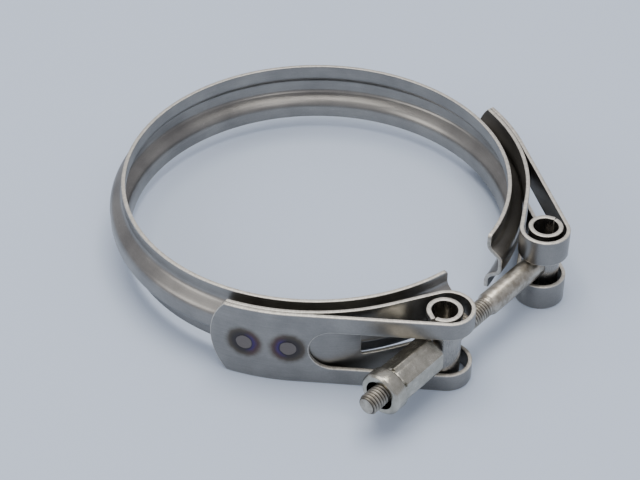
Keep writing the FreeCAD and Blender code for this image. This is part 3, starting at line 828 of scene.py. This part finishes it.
WELD_FACE = (0.20, 0.18, 0.17)
HALO = ((0.0, WELD_FACE), (0.35, WELD_FACE), (0.39, (0.045, 0.04, 0.045)),
        (0.55, (0.055, 0.048, 0.045)), (0.70, (0.09, 0.075, 0.06)), (0.85, (0.15, 0.135, 0.115)),
        (1.0, (0.25, 0.235, 0.215)))
TINT = ((0.0, WELD_FACE), (0.35, WELD_FACE), (0.39, (0.05, 0.042, 0.075)),
        (0.45, (0.075, 0.055, 0.17)), (0.53, (0.075, 0.045, 0.10)), (0.63, (0.085, 0.05, 0.052)),
        (0.82, (0.15, 0.125, 0.105)), (1.0, (0.25, 0.235, 0.215)))
HALO_REACH = 6.3


def heat_tint(graph, centre, neighbour, colour, rough):
    """Oxide round a spot weld: brown-black all round, violet and blue towards its neighbour."""
    wobble = graph.noise(graph.place, 0.55, 2.0, 0.6)
    arm = graph.vector("SUBTRACT", graph.place, centre)
    toward = (Vector(neighbour) - Vector(centre)).normalized()
    ahead = graph.math("DIVIDE", graph.vector("DOT_PRODUCT", arm, toward), HALO_REACH)
    share = graph.math("DIVIDE", graph.vector("LENGTH", arm), HALO_REACH)
    stray = graph.math("MULTIPLY", graph.math("SUBTRACT", wobble, 0.5), graph.math("MULTIPLY", share, 0.22))
    share = graph.math("ADD", share, stray)
    facing = graph.ramp(ahead, ((0.02, 0.0), (0.40, 1.0)))
    shade = graph.mix(facing, graph.ramp(share, HALO), graph.ramp(share, TINT))
    weight = graph.ramp(share, ((0.0, 1.0), (0.72, 0.92), (1.0, 0.0)))
    rough = graph.math("ADD", rough, graph.math("MULTIPLY", weight, 0.12))
    return graph.mix(weight, colour, shade), rough


def cut_edge(name):
    """Sheared edge of the sheet: pale, rough and scored across its thickness."""
    graph = Graph(name)
    tear = graph.noise(graph.stretched(graph.round_ring(), (2.4, 0.5, 0.5)), 1.4, 5.0, 0.7)
    mottle = graph.noise(graph.place, 0.7, 3.0, 0.6)
    tone = graph.weighted((tear, 0.6), (mottle, 0.4))
    colour = graph.two_tone(tone, 0.32, 0.66, EDGE_COLOURS)
    rough = graph.between(tone, 0.36, 0.61)
    return graph.steel(colour, rough, graph.bump(tear, 0.00006, 0.5))


def tube_steel(name):
    """Bright rolled tube with drawing lines along it."""
    graph = Graph(name)
    drawn = graph.stretched(graph.split(graph.place), (2.0, 2.0, 0.12))
    lines = graph.noise(drawn, 2.6, 4.0, 0.65)
    cloud = graph.noise(graph.place, 0.25, 3.0, 0.55)
    tone = graph.weighted((lines, 0.5), (cloud, 0.5))
    colour = graph.two_tone(tone, 0.32, 0.68, TUBE_COLOURS)
    rough = graph.between(tone, 0.17, 0.39)
    return graph.steel(colour, rough, graph.bump(lines, 0.00003, 0.3))


def from_bolt_line(graph):
    """Millimetres along the bolt's axis, and from it."""
    x, y, z = graph.split(graph.place)
    arm = graph.join(0.0, graph.math("SUBTRACT", y, HEAD.y * MILLIMETRES),
                     graph.math("SUBTRACT", z, HEAD.z * MILLIMETRES))
    return x, graph.vector("LENGTH", arm)


def bolt_steel(name):
    """Rod with worn, smoother crests, painted shade darkening the thread roots, and a brownish plain shank.
    """
    graph = Graph(name)
    out = from_bolt_line(graph)[1]
    smudge = graph.noise(graph.place, 0.5, 4.0, 0.6)
    fine = graph.noise(graph.place, 3.2, 3.0, 0.6)
    base = graph.two_tone(smudge, 0.35, 0.65, ROD_COLOURS)
    # painted shade: darkest at the thread roots, fading up the flanks to the base colour at the crests
    crest = graph.ramp(graph.math("DIVIDE", out, 3.0),
                       ((0.755, 1.0), (0.785, 0.0), (0.81, 0.0), (0.96, 1.0)))
    colour = graph.mix(crest, THREAD_ROOT_SHADE, base)
    rough = graph.math("ADD", graph.math("MULTIPLY", fine, 0.2),
                       graph.math("SUBTRACT", 0.46, graph.math("MULTIPLY", crest, 0.22)))
    return graph.steel(colour, rough, graph.bump(fine, 0.00003, 0.35))


def nut_steel(name):
    """Turned sleeve nut: tool marks round it, shiny flats with an olive cast, and painted shade that makes
    the bore and counterbore near black.
    """
    graph = Graph(name)
    x, out = from_bolt_line(graph)
    rings = graph.noise(graph.stretched((x, out, 0.0), (4.0, 4.0, 0.0)), 2.2, 3.0, 0.6)
    cloud = graph.noise(graph.place, 0.28, 3.0, 0.6)
    tone = graph.weighted((rings, 0.4), (cloud, 0.6))
    base = graph.two_tone(tone, 0.34, 0.66, NUT_COLOURS)
    # painted shade: everything within about 4.35 mm of the bolt axis, the bore and counterbore, is made
    # near black
    bore_shade = graph.ramp(graph.math("DIVIDE", out, 6.0), ((0.725, 0.0), (0.745, 1.0)))
    colour = graph.mix(bore_shade, NUT_BORE_SHADE, base)
    rough = graph.between(tone, 0.15, 0.35)
    return graph.steel(colour, rough, graph.bump(rings, 0.00002, 0.3))


def weld_steel(name, welds=()):
    """Weld metal: dull grey-brown with fine pitting, dark with oxide outside a spot weld's face."""
    graph = Graph(name)
    pits = graph.noise(graph.place, 2.4, 4.0, 0.6)
    blotch = graph.noise(graph.place, 0.6, 2.0, 0.5)
    colour = graph.two_tone(blotch, 0.3, 0.7, WELD_COLOURS)
    rough = graph.between(pits, 0.42, 0.62)
    for centre, neighbour in zip(welds, reversed(welds)):
        colour, rough = heat_tint(graph, centre, neighbour, colour, rough)
    return graph.steel(colour, rough, graph.bump(pits, 0.00006, 0.5))


# ---------------------------------------------------------------- the object

def weld_centres(side):
    """Middles of the oxide halos on a strap's outer face, in millimetres."""
    reach = (OUTER_LEAF + SHEET / 2) * MILLIMETRES
    drift = (radians(-0.25), radians(0.3))
    return [(side * reach * sin(weld + off), -reach * cos(weld + off), TRUNNION.z * MILLIMETRES)
            for weld, off in zip(WELD_ANGLES, drift)]


def dress(piece, body, replaced, materials):
    """Gives a piece its materials and its body, and hides the CAD nodes it stands for."""
    for material in materials:
        piece.data.materials.append(material)
    if body:
        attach(piece, body)
    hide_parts(*replaced)


def build_object():
    edge = cut_edge("sheared_edge")
    ring = retainer()
    dress(ring, None, ("retainer_trunnion_half", "retainer_bolt_half"),
          (band_steel("retainer_sheet"), edge))
    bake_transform(ring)
    for end, side, slot, body in (("trunnion", -1, TRUNNION_SLOT, "trunnion_side"),
                                  ("bolt", 1, BOLT_SLOT, "bolt_side")):
        sheet = band_steel(end + "_strap_sheet", weld_centres(side))
        folded = strap(end + "_strap_folded", side, slot)
        dress(folded, body, (end + "_strap",), (sheet, edge))
        dress(weld_marks(end + "_weld_marks", side), body, (end + "_strap_welds",),
              (weld_steel(end + "_weld_surface", weld_centres(side)),))
    tube_surface = tube_steel("barrel_tube")
    trunnion = barrel("trunnion_rolled", TRUNNION, -1, TRUNNION_TAIL)
    cross_hole(trunnion, TRUNNION, TRUNNION_BORE, TRUNNION.x - DRILL_REACH, TRUNNION.x + DRILL_REACH)
    dress(trunnion, "trunnion", ("trunnion_barrel",), (tube_surface, edge))
    head = barrel("t_head_rolled", HEAD, 1, HEAD_TAIL)
    rod_clearance = 0.00002
    cross_hole(head, HEAD, SHANK_RADIUS + rod_clearance, HEAD.x - DRILL_REACH, HEAD.x)
    dress(head, "bolt", ("t_bolt_head",), (tube_surface, edge))
    dress(t_bolt(), "bolt", ("t_bolt",), (bolt_steel("rod_surface"),))
    dress(head_weld(), "bolt", ("t_bolt_weld",), (weld_steel("bead_surface"),))
    dress(sleeve_nut(), "nut", ("sleeve_nut",), (nut_steel("nut_surface"),))


# ---------------------------------------------------------------- floor, light and camera

CAMERA_TURN = radians(48.97)
CAMERA_RISE = radians(39.53)
CAMERA_DISTANCE = 0.4926
CAMERA_LENS = 92.81
AIM = Vector((-0.01448, -0.01397, 0.0))


def from_aim(turn, rise, distance):
    """A place seen from the aim point: turn is measured from -Y towards -X."""
    level = distance * cos(rise)
    return AIM + Vector((-level * sin(turn), -level * cos(turn), distance * sin(rise)))


def looking(thing, target):
    thing.rotation_euler = (target - thing.location).to_track_quat("-Z", "Y").to_euler()


def build_camera():
    lens = bpy.data.cameras.new("camera")
    lens.lens = CAMERA_LENS
    lens.sensor_width = 36.0
    lens.clip_start = 0.01
    camera = bpy.data.objects.new("camera", lens)
    camera.location = from_aim(CAMERA_TURN, CAMERA_RISE, CAMERA_DISTANCE)
    looking(camera, AIM)
    bpy.context.collection.objects.link(camera)
    bpy.context.scene.camera = camera


def build_floor():
    mesh = bmesh.new()
    reach, below_strap = 4.0, 0.0001
    low = STRAP_LOW - below_strap
    mesh.faces.new([mesh.verts.new((x, y, low)) for x, y in
                    ((-reach, -reach), (reach, -reach), (reach, reach), (-reach, reach))])
    floor = finish_mesh("floor", mesh)
    material = bpy.data.materials.new("floor_card")
    material.use_nodes = True
    shader = material.node_tree.nodes["Principled BSDF"]
    shader.inputs["Base Color"].default_value = (0.50, 0.58, 0.72, 1.0)
    shader.inputs["Roughness"].default_value = 0.7
    floor.data.materials.append(material)


def soft_light(name, turn, rise, distance, size, power, colour):
    light = bpy.data.lights.new(name, "AREA")
    light.shape = "RECTANGLE"
    light.size, light.size_y = size
    light.energy = power
    light.color = colour
    lamp = bpy.data.objects.new(name, light)
    lamp.location = from_aim(radians(turn), radians(rise), distance)
    looking(lamp, AIM)
    bpy.context.collection.objects.link(lamp)


def build_light():
    world = bpy.data.worlds.new("studio")
    world.use_nodes = True
    background = world.node_tree.nodes["Background"]
    background.inputs["Color"].default_value = (0.92, 0.93, 1.0, 1.0)
    background.inputs["Strength"].default_value = 0.62
    bpy.context.scene.world = world
    soft_light("overhead", 225, 83, 1.1, (0.8, 0.8), 12.0, (1.0, 0.97, 0.91))
    soft_light("left", 118, 32, 1.2, (0.5, 0.6), 3.0, (1.0, 0.97, 0.92))
    soft_light("front", 20, 50, 1.3, (0.35, 0.35), 1.2, (1.0, 0.98, 0.95))


build_camera()
build_floor()
build_light()
build_object()
